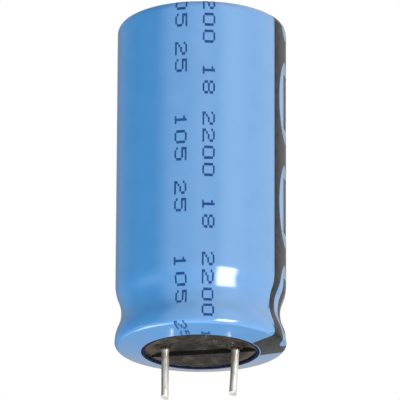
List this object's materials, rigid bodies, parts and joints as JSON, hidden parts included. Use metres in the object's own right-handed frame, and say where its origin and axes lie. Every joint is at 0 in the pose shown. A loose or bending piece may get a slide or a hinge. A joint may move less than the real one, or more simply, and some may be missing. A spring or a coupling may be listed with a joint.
{
  "type": "electrolytic capacitor",
  "caption": "Radial aluminium electrolytic capacitor: sleeved round can with a rolled groove, rubber seal and short stiff wires at one end.",
  "frame": {"origin": "centre of the seating ring at the sealed end, on the plane that bears on the board", "axes": "+Z along the can away from the wires, +X towards the negative wire, -Y towards the printed front"},
  "size_m": [0.0184, 0.0184, 0.0421],
  "materials": {
    "blue_sleeve": "glossy shrunk film",
    "stripe_ink": "glossy printed ink",
    "can_aluminium": "satin drawn",
    "seal_rubber": "matte moulded",
    "tinned_wire": "bright tin plate",
    "tab_aluminium": "rolled",
    "etched_foil": "matte etched",
    "plain_foil": "satin",
    "separator_paper": "soaked tissue",
    "closing_tape": "clear film tape"
  },
  "bodies": {
    "root": {"sleeve": "blue_sleeve", "polarity_stripe": "stripe_ink", "can": "can_aluminium", "rubber_seal": "seal_rubber", "positive_lead": "tinned_wire", "negative_lead": "tinned_wire", "anode_tab": "tab_aluminium", "cathode_tab": "tab_aluminium", "anode_foil": "etched_foil", "cathode_foil": "plain_foil", "separator_inner": "separator_paper", "separator_outer": "separator_paper", "winding_tape": "closing_tape"}
  },
  "joints": []
}
